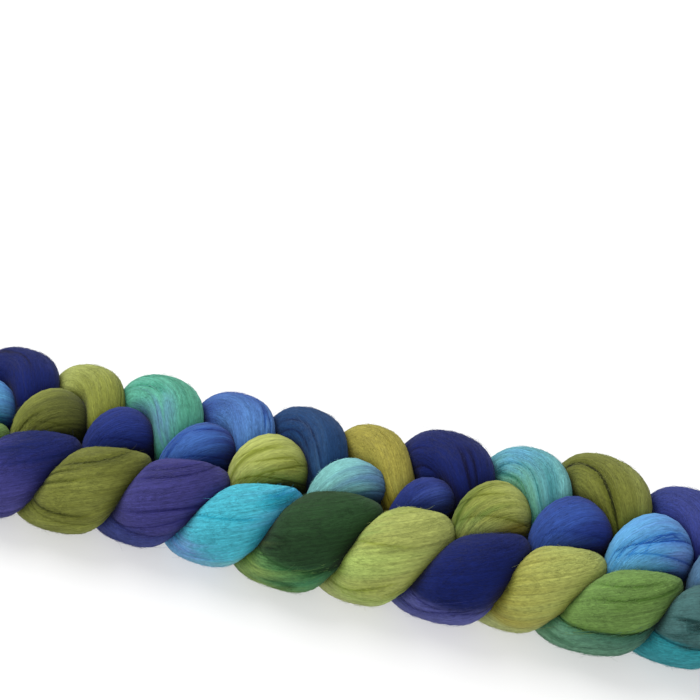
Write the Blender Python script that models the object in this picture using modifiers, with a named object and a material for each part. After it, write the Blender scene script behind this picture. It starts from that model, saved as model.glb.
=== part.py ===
"""A braid of wool roving: one thick combed strand worked into a chain of loops.

The chain runs along +X and lies on its flat side, with its row of bumps up.
Each stitch is a far leg, a hidden head, a near leg and a bump, and one route
through space carries the strand through all of them.  The strand is soft, so
every ring of it swells until it meets the floor or a neighbouring turn.

Units are metres.  Route tables are in stitches: 1.0 is one PITCH.
"""

import math

import bmesh
import bpy
import numpy as np
from mathutils import Matrix, Vector

# ---- driving dimensions -------------------------------------------------

PITCH = 0.032  # from one stitch to the next, along the braid
FIRST_STITCH = 1
LAST_STITCH = 13
RINGS_PER_STITCH = 52
SIDES = 28  # points around each ring of the strand
FLAT_DEPTH = 0.0007  # how far each lobe is pressed flat where it rests
FLOOR_CUTTER = (1.2, 0.4, 0.1)  # the slab that presses them flat
VOXEL = 0.0013  # the grid on which the strand's turns are fused
MOST_TRIANGLES = 10800
WOOL_COLOUR = (0.16, 0.27, 0.36, 1.0)
WOOL_ROUGHNESS = 0.75

# How the strand swells, in stitches
OWN_REACH = 1.0  # strand this near along its own length is not a neighbour
SWELL_STEPS = 14
BEND_LIMIT = 0.86  # share of a ring's reach still on its own side of a bend
THICK_WINS = 0.8  # how far a thick turn presses into a thin one

# The packed middle, in stitches: length, width and height, and its centre's height
STITCH_SPAN = (FIRST_STITCH - 0.9, LAST_STITCH + 0.3)
PACKING = (STITCH_SPAN[1] - STITCH_SPAN[0], 1.15, 0.62)
PACKING_CENTRE_UP = 0.52

# ---- the route of one stitch --------------------------------------------

# Columns: along, across (+ is the far side), up, radius
FAR_LEG = (
    (-1.25, 0.50, 0.35, 0.45),
    (-1.10, 0.95, 0.40, 0.50),
    (-0.75, 0.95, 0.55, 0.55),
    (-0.40, 0.85, 0.70, 0.50),
    (-0.25, 0.50, 0.75, 0.50),
)
HEAD = (
    (-0.05, 0.14, 0.48, 0.46),
    (0.34, -0.06, 0.44, 0.48),
)
NEAR_LEG = (
    (0.55, -0.40, 0.65, 0.50),
    (0.30, -0.75, 0.75, 0.55),
    (-0.05, -0.80, 0.65, 0.55),
    (-0.45, -0.75, 0.50, 0.50),
    (-0.85, -0.50, 0.40, 0.50),
)
TURN = ((-1.02, -0.22, 0.40, 0.47),)
BUMP = (
    (-1.05, -0.10, 0.60, 0.40),
    (-1.00, -0.05, 0.80, 0.40),
    (-0.75, 0.15, 0.90, 0.50),
    (-0.55, 0.30, 0.75, 0.45),
    (-0.45, 0.40, 0.50, 0.45),
)
DIVE = ((-0.38, 0.42, 0.40, 0.47),)

# How each stitch differs from the plain one.  Columns: stitch, then the sizes of
# its far leg, near leg and bump, how far each is pulled along, and how far each
# is pulled across
STITCH_VARIATION = (
    (1, 0.95, 0.90, 1.00, 0.00, 0.05, 0.00, 0.00, 0.05, 0.00),
    (2, 1.05, 1.00, 1.00, -0.05, 0.00, 0.00, 0.00, 0.00, 0.05),
    (3, 1.00, 1.00, 1.00, 0.05, 0.00, 0.00, 0.00, 0.00, -0.05),
    (4, 0.90, 1.00, 0.95, 0.05, -0.05, 0.00, 0.00, 0.00, 0.05),
    (5, 1.10, 1.05, 0.95, 0.05, 0.05, 0.00, -0.05, 0.10, 0.00),
    (6, 1.00, 1.00, 0.95, 0.10, 0.05, 0.10, 0.00, 0.00, 0.00),
    (7, 1.00, 1.15, 1.10, 0.05, 0.05, 0.00, 0.00, 0.00, -0.05),
    (8, 0.90, 1.10, 0.95, -0.05, 0.00, 0.10, 0.00, 0.00, -0.05),
    (9, 1.15, 1.00, 0.85, -0.05, 0.05, 0.15, 0.00, -0.05, 0.05),
    (10, 1.10, 1.00, 1.05, 0.05, -0.05, -0.05, 0.05, 0.05, 0.00),
    (11, 1.20, 0.95, 1.15, -0.10, -0.10, 0.00, 0.10, -0.05, 0.00),
    (12, 1.00, 0.95, 1.15, 0.05, 0.00, -0.05, 0.00, 0.05, -0.05),
    (13, 0.95, 0.90, 1.00, 0.00, -0.05, 0.00, 0.00, 0.05, 0.00),
)

# The starting end is tucked inside the first loop.  Same columns as the route,
# counted from the first stitch.
START_END = (
    (-1.00, -0.05, 0.50, 0.34),
    (-1.30, 0.02, 0.46, 0.42),
    (-1.50, 0.24, 0.42, 0.44),
)

# The finishing end comes up through the last loop, over its head, and lies
# out on the surface, drawn down to a soft tip.  Counted from the last stitch.
FINISH_END = (
    (-0.10, 0.36, 0.42, 0.42),
    (-0.04, 0.12, 0.78, 0.42),
    (0.26, 0.06, 0.94, 0.46),
    (0.60, 0.04, 0.86, 0.47),
    (0.90, 0.01, 0.62, 0.45),
    (1.18, -0.03, 0.44, 0.41),
    (1.44, -0.08, 0.34, 0.35),
    (1.68, -0.12, 0.27, 0.28),
    (1.88, -0.15, 0.21, 0.20),
    (2.04, -0.17, 0.16, 0.12),
    (2.14, -0.18, 0.12, 0.05),
)


def shifted(points, along=0.0, across=0.0, size=1.0):
    """The route points moved, with their radius scaled."""
    moved = np.array(points, float)
    moved[:, 0] += along
    moved[:, 1] += across
    moved[:, 3] *= size
    return moved


def stitch_points(row):
    """The route of one stitch, from its row of the variation table."""
    number, sizes, along, across = row[0], row[1:4], row[4:7], row[7:10]
    far, near, bump = (
        shifted(points, number + pulled_along, pulled_across, size)
        for points, size, pulled_along, pulled_across in zip(
            (FAR_LEG, NEAR_LEG, BUMP), sizes, along, across
        )
    )
    head, turn, dive = (shifted(points, number) for points in (HEAD, TURN, DIVE))
    return np.vstack((far, head, near, turn, bump, dive))


def strand_points():
    """The whole route: the starting end, every stitch and the finishing end."""
    parts = [shifted(START_END, FIRST_STITCH)]
    parts += [stitch_points(row) for row in STITCH_VARIATION]
    parts.append(shifted(FINISH_END, LAST_STITCH))
    return np.vstack(parts)


def smooth_curve(points, steps=30):
    """A Catmull-Rom curve through the points, with `steps` samples a span."""
    last = len(points) - 1
    at = np.linspace(0, last, last * steps + 1)
    span = np.clip(np.floor(at).astype(int), 0, last - 1)
    u = (at - span)[:, None]
    p0, p1, p2, p3 = (points[np.clip(span + k, 0, last)] for k in (-1, 0, 1, 2))
    linear = p2 - p0
    square = 2 * p0 - 5 * p1 + 4 * p2 - p3
    cubic = 3 * p1 - p0 - 3 * p2 + p3
    return 0.5 * (2 * p1 + linear * u + square * u**2 + cubic * u**3)


def lengths_along(centres):
    """The distance along the strand at each of its centres."""
    steps = np.linalg.norm(np.diff(centres, axis=0), axis=1)
    return np.concatenate(([0.0], np.cumsum(steps)))


def even_rings(curve, count):
    """Samples of the curve at even distances, with the centres relaxed."""
    along = lengths_along(curve[:, :3])
    wanted = np.linspace(0, along[-1], count)
    rings = np.stack([np.interp(wanted, along, column) for column in curve.T], 1)
    for _ in range(5):
        rings[1:-1, :3] = (rings[:-2, :3] + 2 * rings[1:-1, :3] + rings[2:, :3]) / 4
    return rings[:, :3], rings[:, 3]


def ring_directions(centres, sides):
    """Unit vectors from each centre to the points of its ring, without twist."""
    tangents = np.gradient(centres, axis=0)
    tangents /= np.linalg.norm(tangents, axis=1, keepdims=True)
    side = np.zeros_like(centres)
    carried = np.array((0.0, 1.0, 0.0))
    for i, tangent in enumerate(tangents):
        carried = carried - tangent * (carried @ tangent)
        carried /= np.linalg.norm(carried)
        side[i] = carried
    other = np.cross(tangents, side)
    angle = np.linspace(0, 2 * np.pi, sides, endpoint=False)[None, :, None]
    return np.cos(angle) * side[:, None] + np.sin(angle) * other[:, None]


def reach(points, centres, radii):
    """How far the points lie from the nearest of the strand's own surfaces."""
    gaps = np.linalg.norm(points[:, None] - centres[None], axis=2)
    return gaps.min(1), (gaps - THICK_WINS * radii[None]).min(1)


def swell(centres, free_radii, sides):
    """The radius of the strand at every ring point, and the ring directions.

    A ring point moves out from its centre until it comes nearer to another
    turn of the strand than to its own, or passes the inside of its own bend.
    """
    directions = ring_directions(centres, sides)
    along = lengths_along(centres)
    shares = np.linspace(0, 1, SWELL_STEPS + 1)
    radii = np.repeat(free_radii[:, None], sides, 1)
    for i, (centre, free) in enumerate(zip(centres, free_radii)):
        near = np.linalg.norm(centres - centre, axis=1) < 2.2 * free_radii.max()
        own = near & (np.abs(along - along[i]) <= OWN_REACH)
        other = near & ~own
        out = shares[1:] * free
        tests = (centre + directions[i][:, None] * out[None, :, None]).reshape(-1, 3)
        own_gap, own_reach = reach(tests, centres[own], free_radii[own])
        room = own_gap - np.tile(out, sides) * BEND_LIMIT
        if other.any():
            _, other_reach = reach(tests, centres[other], free_radii[other])
            room = np.minimum(room, other_reach - own_reach)
        room = np.hstack((np.full((sides, 1), 0.4 * free), room.reshape(sides, -1)))
        blocked = room < 0
        for j in np.flatnonzero(blocked.any(1)):
            k = blocked[j].argmax()
            share = room[j, k - 1] / (room[j, k - 1] - room[j, k])
            limit = free * (shares[k - 1] + share / SWELL_STEPS)
            radii[i, j] = soft_lower(free, max(limit, 0.001), 6)
        down = np.minimum(directions[i][:, 2], -1e-6)
        radii[i] = soft_lower(radii[i], np.maximum(-centre[2] / down, 0.001), 12)
    return radii, directions


def soft_lower(a, b, sharpness):
    """The smaller of a and b, rounded where they are nearly equal."""
    return (a**-sharpness + b**-sharpness) ** (-1 / sharpness)


def relaxed(radii):
    """Ring radii evened out a little around the ring and along the strand."""
    radii = (np.roll(radii, 1, 1) + 2 * radii + np.roll(radii, -1, 1)) / 4
    for _ in range(2):
        padded = np.pad(radii, ((1, 1), (0, 0)), mode="edge")
        radii = (padded[:-2] + 2 * padded[1:-1] + padded[2:]) / 4
    return radii


def strand_skin():
    """Points of the strand's surface in metres, as rings by sides."""
    curve = smooth_curve(strand_points())
    count = RINGS_PER_STITCH * len(STITCH_VARIATION)
    centres, free_radii = even_rings(curve, count)
    radii, directions = swell(centres, free_radii, SIDES)
    skin = centres[:, None] + directions * relaxed(radii)[:, :, None]
    return skin * PITCH


# ---- meshes -------------------------------------------------------------


def clear_scene():
    for thing in list(bpy.data.objects):
        bpy.data.objects.remove(thing, do_unlink=True)


def new_collection(name):
    collection = bpy.data.collections.new(name)
    bpy.context.scene.collection.children.link(collection)
    return collection


def wool_material():
    material = bpy.data.materials.new("wool")
    material.use_nodes = True
    shader = material.node_tree.nodes["Principled BSDF"]
    shader.inputs["Base Color"].default_value = WOOL_COLOUR
    shader.inputs["Roughness"].default_value = WOOL_ROUGHNESS
    shader.inputs["Metallic"].default_value = 0.0
    return material


def strand_mesh(name, skin):
    """A closed tube through the rings: a grid wrapped round and capped."""
    rings, sides, _ = skin.shape
    wrapped = np.concatenate((skin, skin[:, :1]), axis=1)
    bm = bmesh.new()
    bmesh.ops.create_grid(bm, x_segments=sides, y_segments=rings - 1, size=1.0)
    for vert, place in zip(bm.verts, wrapped.reshape(-1, 3)):
        vert.co = place
    bmesh.ops.remove_doubles(bm, verts=bm.verts, dist=1e-6)
    bmesh.ops.holes_fill(bm, edges=bm.edges, sides=sides)
    add_packing(bm)
    bmesh.ops.recalc_face_normals(bm, faces=bm.faces)
    mesh = bpy.data.meshes.new(name)
    bm.to_mesh(mesh)
    bm.free()
    return mesh


def add_packing(bm):
    """Adds the wool packed where the turns meet: a hidden oval bar."""
    length, width, height = PACKING
    middle = Vector((sum(STITCH_SPAN) / 2, 0.0, PACKING_CENTRE_UP))
    place = Matrix.Translation(middle * PITCH)
    squash = Matrix.Diagonal((length * PITCH, width * PITCH, height * PITCH, 1.0))
    turn = Matrix.Rotation(math.radians(90), 4, "Y")
    bmesh.ops.create_cone(
        bm,
        cap_ends=True,
        segments=24,
        radius1=0.5,
        radius2=0.5,
        depth=1.0,
        matrix=place @ squash @ turn,
    )


def new_object(name, mesh, collection, material=None):
    thing = bpy.data.objects.new(name, mesh)
    if material:
        mesh.materials.append(material)
    collection.objects.link(thing)
    return thing


def evaluated_mesh(thing):
    """A plain copy of the object's mesh with its modifiers applied."""
    graph = bpy.context.evaluated_depsgraph_get()
    return bpy.data.meshes.new_from_object(thing.evaluated_get(graph))


def fuse_turns(thing):
    """Joins the strand's turns into one skin, and drops pockets inside it."""
    remesh = thing.modifiers.new("fuse", "REMESH")
    remesh.mode = "VOXEL"
    remesh.voxel_size = VOXEL
    thing.data = evaluated_mesh(thing)
    thing.modifiers.clear()
    bm = bmesh.new()
    bm.from_mesh(thing.data)
    islands = face_islands(bm)
    kept = max(islands, key=len)
    pockets = [face for island in islands if island is not kept for face in island]
    bmesh.ops.delete(bm, geom=pockets, context="FACES")
    bm.to_mesh(thing.data)
    bm.free()


def face_islands(bm):
    """The faces of the mesh, in one list for each connected piece."""
    islands = []
    seen = set()
    for start in bm.faces:
        if start in seen:
            continue
        seen.add(start)
        island = [start]
        for face in island:
            for edge in face.edges:
                for other in edge.link_faces:
                    if other not in seen:
                        seen.add(other)
                        island.append(other)
        islands.append(island)
    return islands


def thin_out(thing):
    """Collapses faces where the skin is smooth, down to the triangle limit."""
    triangles = sum(len(face.vertices) - 2 for face in thing.data.polygons)
    decimate = thing.modifiers.new("thin out", "DECIMATE")
    decimate.ratio = MOST_TRIANGLES / triangles


def put_origin_under(thing):
    """Centres the braid over the origin, its lobes FLAT_DEPTH into the floor."""
    points = np.array([vert.co for vert in thing.data.vertices])
    middle = (points.min(0) + points.max(0)) / 2
    thing.location = (-middle[0], -middle[1], -FLAT_DEPTH)


def press_flat(thing, cutters):
    """Cuts the lobes off level at z = 0, where they rest on the surface."""
    bpy.ops.mesh.primitive_cube_add(size=1.0)
    slab = bpy.context.object
    slab.name = "floor_cutter"
    slab.scale = FLOOR_CUTTER
    slab.location.z = -slab.scale.z / 2
    for owner in list(slab.users_collection):
        owner.objects.unlink(slab)
    cutters.objects.link(slab)
    slab.hide_render = True
    slab.display_type = "WIRE"
    cut = thing.modifiers.new("press flat", "BOOLEAN")
    cut.operation = "DIFFERENCE"
    cut.solver = "EXACT"
    cut.object = slab


def main():
    clear_scene()
    braids = new_collection("braid_of_wool_roving")
    cutters = new_collection("cutters")
    skin = strand_skin()
    braid = new_object("braid", strand_mesh("braid", skin), braids, wool_material())
    fuse_turns(braid)
    put_origin_under(braid)
    thin_out(braid)
    press_flat(braid, cutters)


main()
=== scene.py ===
"""Looks for the braid of wool roving: a plump chain of combed, hand-dyed wool.

One strand is carried through every stitch of the chain.  It swells until it
meets the surface or a neighbouring turn, takes its dye in bands, and carries
fine creases, streaks and loose fibres along its length.
Route tables are in stitches: 1.0 is one pitch.  Everything else is in metres.
"""

import functools
import math

import bmesh
import bpy
import numpy as np
from bpy.props import FloatProperty, FloatVectorProperty, IntProperty, PointerProperty
from mathutils import Euler, Matrix, Vector


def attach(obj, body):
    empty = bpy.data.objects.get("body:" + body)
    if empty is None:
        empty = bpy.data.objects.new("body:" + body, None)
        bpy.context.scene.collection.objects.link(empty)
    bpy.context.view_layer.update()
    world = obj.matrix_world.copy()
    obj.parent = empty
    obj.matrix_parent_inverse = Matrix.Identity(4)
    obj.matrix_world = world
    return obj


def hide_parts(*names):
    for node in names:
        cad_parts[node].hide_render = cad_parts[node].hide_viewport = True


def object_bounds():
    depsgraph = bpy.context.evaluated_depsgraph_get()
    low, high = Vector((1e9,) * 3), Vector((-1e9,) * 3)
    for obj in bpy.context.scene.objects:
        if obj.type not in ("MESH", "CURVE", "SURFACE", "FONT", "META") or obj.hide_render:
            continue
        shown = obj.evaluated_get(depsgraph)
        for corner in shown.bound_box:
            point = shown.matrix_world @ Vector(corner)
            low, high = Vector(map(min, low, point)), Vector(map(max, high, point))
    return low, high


bl_info = {
    "name": "Braid of Wool Roving",
    "version": (1, 0, 0),
    "blender": (4, 5, 0),
    "location": "View3D > Sidebar > Wool Braid",
    "description": "Works a plump chain braid of hand-dyed combed wool",
    "category": "Add Mesh",
}

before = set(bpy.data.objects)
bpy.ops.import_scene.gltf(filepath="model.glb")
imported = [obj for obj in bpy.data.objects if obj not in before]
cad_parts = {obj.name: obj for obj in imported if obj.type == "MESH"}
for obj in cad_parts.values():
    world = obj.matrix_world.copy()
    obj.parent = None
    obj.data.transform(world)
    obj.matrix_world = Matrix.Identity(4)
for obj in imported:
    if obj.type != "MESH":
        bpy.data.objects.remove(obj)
CAD_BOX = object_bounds()
BODY = "root"
NODE = "braid"

# ---- the chain ----

FIRST_STITCH = 1
LAST_STITCH = 13

# The route of one stitch.  Columns: along, across (+ is the far side), up, radius
FAR_LEG = (
    (-1.25, 0.50, 0.35, 0.45),
    (-1.10, 0.95, 0.40, 0.50),
    (-0.75, 0.95, 0.55, 0.55),
    (-0.40, 0.85, 0.70, 0.50),
    (-0.25, 0.50, 0.75, 0.50),
)
HEAD = (
    (-0.05, 0.14, 0.48, 0.46),
    (0.34, -0.06, 0.44, 0.48),
)
NEAR_LEG = (
    (0.55, -0.40, 0.65, 0.50),
    (0.30, -0.75, 0.75, 0.55),
    (-0.05, -0.80, 0.65, 0.55),
    (-0.45, -0.75, 0.50, 0.50),
    (-0.85, -0.50, 0.40, 0.50),
)
TURN = ((-1.02, -0.22, 0.40, 0.47),)
BUMP = (
    (-1.05, -0.10, 0.60, 0.40),
    (-1.00, -0.05, 0.80, 0.40),
    (-0.75, 0.15, 0.90, 0.50),
    (-0.55, 0.30, 0.75, 0.45),
    (-0.45, 0.40, 0.50, 0.45),
)
DIVE = ((-0.38, 0.42, 0.40, 0.47),)

# How each stitch differs from the plain one.  Columns: stitch, then the sizes of
# its far leg, near leg and bump, how far each is pulled along, and how far each
# is pulled across
STITCH_VARIATION = (
    (1, 0.95, 0.90, 1.00, 0.00, 0.05, 0.00, 0.00, 0.05, 0.00),
    (2, 1.05, 1.00, 1.00, -0.05, 0.00, 0.00, 0.00, 0.00, 0.05),
    (3, 1.00, 1.00, 1.00, 0.05, 0.00, 0.00, 0.00, 0.00, -0.05),
    (4, 0.90, 1.00, 0.95, 0.05, -0.05, 0.00, 0.00, 0.00, 0.05),
    (5, 1.10, 1.05, 0.95, 0.05, 0.05, 0.00, -0.05, 0.10, 0.00),
    (6, 1.00, 1.00, 0.95, 0.10, 0.05, 0.10, 0.00, 0.00, 0.00),
    (7, 1.00, 1.15, 1.10, 0.05, 0.05, 0.00, 0.00, 0.00, -0.05),
    (8, 0.90, 1.10, 0.95, -0.05, 0.00, 0.10, 0.00, 0.00, -0.05),
    (9, 1.15, 1.00, 0.85, -0.05, 0.05, 0.15, 0.00, -0.05, 0.05),
    (10, 1.10, 1.00, 1.05, 0.05, -0.05, -0.05, 0.05, 0.05, 0.00),
    (11, 1.20, 0.95, 1.15, -0.10, -0.10, 0.00, 0.10, -0.05, 0.00),
    (12, 1.00, 0.95, 1.15, 0.05, 0.00, -0.05, 0.00, 0.05, -0.05),
    (13, 0.95, 0.90, 1.00, 0.00, -0.05, 0.00, 0.00, 0.05, 0.00),
)

# The starting end is tucked inside the first loop.  Same columns as the route,
# counted from the first stitch.
START_END = (
    (-1.00, -0.05, 0.50, 0.34),
    (-1.30, 0.02, 0.46, 0.42),
    (-1.50, 0.24, 0.42, 0.44),
)

# The finishing end comes up through the last loop, over its head, and lies
# out on the surface, drawn down to a soft tip.  Counted from the last stitch.
FINISH_END = (
    (-0.10, 0.36, 0.42, 0.42),
    (-0.04, 0.12, 0.78, 0.42),
    (0.26, 0.06, 0.94, 0.46),
    (0.60, 0.04, 0.86, 0.47),
    (0.90, 0.01, 0.62, 0.45),
    (1.18, -0.03, 0.44, 0.41),
    (1.44, -0.08, 0.34, 0.35),
    (1.68, -0.12, 0.27, 0.28),
    (1.88, -0.15, 0.21, 0.20),
    (2.04, -0.17, 0.16, 0.12),
    (2.14, -0.18, 0.12, 0.05),
)

STITCH_COUNT = len(STITCH_VARIATION)
POINTS_PER_STITCH = len(FAR_LEG + HEAD + NEAR_LEG + TURN + BUMP + DIVE)

# How the strand swells, in stitches where a line names no other unit
OWN_REACH = 1.0  # strand this near along its own length is not a neighbour
NEIGHBOUR_REACH = 2.2  # in radii of the thickest ring
CENTRE_ROOM = 0.4  # what a ring's centre is given to start from, in its own radii
SWELL_STEPS = 14
BEND_LIMIT = 0.86  # share of a ring's reach still on its own side of a bend
THICK_WINS = 0.8  # how far a thick turn presses into a thin one
LEAST_RADIUS = 0.001
TURN_SHARPNESS, FLOOR_SHARPNESS = 6, 12  # how sharply a turn and the floor stop it
FLAT_DEPTH = 0.0007  # how far each lobe is pressed flat where it rests, in metres

# The wool packed in the middle, in stitches: its length, width and height, and
# where its centre lies from the part's own origin
PACKING_SIZE = (LAST_STITCH - 0.1, 1.10, 0.34)
PACKING_CENTRE = (-0.65, 0.0, 0.40)

# Mesh density
CURVE_SAMPLES = 30  # from one route point to the next
RINGS_PER_STITCH, SIDES = 96, 112
ROUGH_STEP = 2  # the swell is worked on every second ring, and smoothed between
ROUGH_SIDES = 36
CURVE_SMOOTHING = 23  # passes
STITCHES_A_PIECE = 3
TINY = 1e-12  # keeps a division by nothing from failing

# Noise drawn out along the strand.  Columns: seed, cells a stitch, cells round the
# strand, and how strong it is
RELIEF_NOISE = ((21, 5, 6, 1.10), (22, 7, 20, 0.35), (23, 9, 56, 0.15))
BAND_NOISE = ((31, 5, 70, 0.45), (32, 3, 12, 0.70))
SECTOR_NOISE = ((33, 8, 50, 0.10),)
TONE_NOISE = ((34, 6, 84, 0.06), (35, 3, 12, 0.06))
CREASE_NOISE = ((24, 6, 18, 1.0),)
CREASE_PLACES = ((25, 9, 9, 1.0),)

# Creases, folds and the grooves between plies.  Widths are in radians round the
# strand, depths in stitches
CREASE_SHARPNESS = 6
CREASE_ONSET = (0.30, 0.80)  # noise at which creases set in, and are full
CREASE_SHARE = 0.75  # how strong a crease is beside a full fold
CREASE_SLOPE = 0.2  # radians from a crease for each unit of its noise
CREASE_REACH = 0.25  # how far round the strand a crease's line is measured
GROOVE_DEPTH, GROOVE_WIDTH = 0.022, 0.09
PLY_HOLLOW, FOLD_HOLLOW, HOLLOW_WIDTH = 0.018, 0.004, 0.3
# The fine line along each crease is painted shade: LINE_WIDTH is its width, and CREASE_REACH is how
# far round the strand it is measured
LINE_WIDTH = 0.12
FOLD_ENDS = (0.3, 0.4)  # how far a fold fades out and in at its ends, in route points

# ---- the dyes ----

DYES = {
    "navy": (0.003, 0.009, 0.085),
    "indigo": (0.010, 0.022, 0.140),
    "royal": (0.024, 0.060, 0.250),
    "blue": (0.038, 0.105, 0.330),
    "sky": (0.105, 0.340, 0.600),
    "periwinkle": (0.074, 0.185, 0.430),
    "steel": (0.084, 0.178, 0.305),
    "slate": (0.048, 0.122, 0.120),
    "slate_blue": (0.009, 0.042, 0.126),
    "dusk": (0.030, 0.042, 0.190),
    "turquoise": (0.052, 0.370, 0.465),
    "aqua": (0.125, 0.330, 0.300),
    "pale_aqua": (0.170, 0.420, 0.405),
    "lagoon": (0.085, 0.270, 0.290),
    "seafoam": (0.085, 0.330, 0.235),
    "jade": (0.135, 0.345, 0.205),
    "sage": (0.120, 0.275, 0.170),
    "bottle": (0.036, 0.115, 0.080),
    "teal": (0.030, 0.260, 0.300),
    "pine": (0.008, 0.026, 0.010),
    "dark_green": (0.016, 0.050, 0.015),
    "forest": (0.036, 0.165, 0.066),
    "green": (0.060, 0.220, 0.075),
    "grass": (0.128, 0.225, 0.056),
    "lime": (0.325, 0.430, 0.110),
    "straw": (0.350, 0.385, 0.140),
    "yellow_green": (0.305, 0.338, 0.090),
    "mustard": (0.295, 0.260, 0.046),
    "olive": (0.185, 0.205, 0.036),
    "moss": (0.136, 0.148, 0.026),
    "dark_olive": (0.066, 0.074, 0.016),
    "purple": (0.038, 0.036, 0.160),
    "plum": (0.080, 0.088, 0.280),
    "violet": (0.075, 0.068, 0.270),
    "lavender": (0.160, 0.230, 0.520),
}

# How the dye lies on each lobe.  The lower part of a lobe is a sector round the
# strand: it faces down on a near leg, into the loop on a far leg and to the near
# side on a bump.  Columns: stitch, upper start and end, lower start and end,
# half the lower sector in degrees, how deep the crease along its edge is
# In the material the crease along a sector's edge also gets a fine line of painted shade
FAR_DYES = (
    (1, "olive", "dark_olive", "olive", "dark_olive", 50, 0.3),
    (2, "indigo", "navy", "indigo", "navy", 50, 0.2),
    (3, "navy", "navy", "indigo", "navy", 50, 0.2),
    (4, "yellow_green", "olive", "yellow_green", "moss", 45, 0.1),
    (5, "seafoam", "seafoam", "lagoon", "steel", 66, 0.1),
    (6, "royal", "periwinkle", "royal", "periwinkle", 45, 0.1),
    (7, "slate_blue", "slate_blue", "slate_blue", "indigo", 60, 0.2),
    (8, "mustard", "mustard", "mustard", "mustard", 45, 0.0),
    (9, "navy", "navy", "navy", "indigo", 60, 0.4),
    (10, "lagoon", "lagoon", "jade", "jade", 78, 0.1),
    (11, "moss", "moss", "moss", "olive", 58, 1.0),
    (12, "indigo", "dusk", "indigo", "purple", 50, 0.2),
    (13, "seafoam", "aqua", "aqua", "steel", 60, 0.4),
)
NEAR_DYES = (
    (1, "turquoise", "aqua", "sky", "royal", 75, 0.5),
    (2, "grass", "yellow_green", "green", "teal", 80, 0.3),
    (3, "navy", "violet", "purple", "purple", 75, 0.3),
    (4, "moss", "moss", "olive", "olive", 80, 0.3),
    (5, "purple", "purple", "dusk", "dusk", 88, 0.4),
    (6, "turquoise", "turquoise", "pale_aqua", "sky", 66, 0.2),
    (7, "dark_green", "pine", "forest", "grass", 112, 0.3),
    (8, "yellow_green", "lime", "lime", "straw", 78, 0.3),
    (9, "navy", "navy", "plum", "plum", 92, 0.4),
    (10, "yellow_green", "mustard", "yellow_green", "straw", 80, 0.2),
    (11, "grass", "grass", "bottle", "sage", 107, 1.0),
    (12, "slate", "slate", "teal", "teal", 110, 0.8),
    (13, "royal", "indigo", "violet", "royal", 60, 0.4),
)
BUMP_DYES = (
    (1, "seafoam", "teal", "seafoam", "teal", 60, 0.2),
    (2, "royal", "indigo", "royal", "navy", 60, 0.2),
    (3, "sky", "blue", "turquoise", "blue", 60, 0.2),
    (4, "olive", "dark_olive", "olive", "dark_olive", 60, 0.2),
    (5, "indigo", "indigo", "indigo", "indigo", 60, 0.2),
    (6, "blue", "indigo", "blue", "indigo", 60, 0.3),
    (7, "yellow_green", "olive", "olive", "dark_olive", 60, 0.6),
    (8, "pale_aqua", "steel", "pale_aqua", "steel", 60, 0.1),
    (9, "indigo", "dusk", "indigo", "dusk", 60, 0.2),
    (10, "olive", "yellow_green", "yellow_green", "mustard", 60, 0.4),
    (11, "royal", "indigo", "royal", "indigo", 60, 0.1),
    (12, "sky", "periwinkle", "sky", "periwinkle", 60, 0.6),
    (13, "steel", "slate", "steel", "teal", 60, 0.3),
)

# Long folds that show on single lobes.  Columns: stitch, part (0 is the far leg,
# 1 the near leg, 2 the bump), first and last route point, the angle round the
# strand at each of them, and how deep it is.  Angles are counted as for the dyes.
# In the material each fold also gets a fine line of painted shade
FOLDS = (
    (4, 1, 7.0, 9.0, 175, 175, 0.7),
    (4, 1, 8.5, 10.0, 95, 110, 0.7),
    (5, 1, 7.5, 9.0, -175, -175, 0.6),
    (5, 1, 7.0, 9.0, 170, 170, 0.5),
    (6, 1, 8.0, 10.0, 140, 150, 0.4),
    (6, 2, 14.5, 15.5, -115, -125, 0.5),
    (7, 0, 2.0, 4.5, -90, -115, 0.5),
    (7, 0, 2.0, 4.0, -70, -95, 0.4),
    (7, 2, 14.0, 15.0, -95, -110, 0.5),
    (7, 2, 14.5, 15.5, -80, -100, 0.5),
    (7, 2, 14.5, 16.0, -60, -100, 0.6),
    (8, 1, 8.5, 10.5, 100, 70, 0.6),
    (8, 1, 8.0, 9.5, 145, 165, 0.3),
    (9, 1, 8.5, 10.5, 90, 70, 0.6),
    (10, 2, 14.0, 15.0, -105, -110, 0.6),
    (10, 2, 15.0, 16.5, -50, -90, 0.7),
    (11, 0, 1.5, 4.5, -115, -105, 1.2),
    (11, 1, 7.5, 9.0, 165, 180, 0.4),
    (11, 1, 7.0, 9.0, 145, 155, 0.4),
    (12, 2, 14.5, 15.5, -85, -110, 0.9),
    (12, 2, 14.0, 16.0, -75, -105, 1.1),
)
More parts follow.
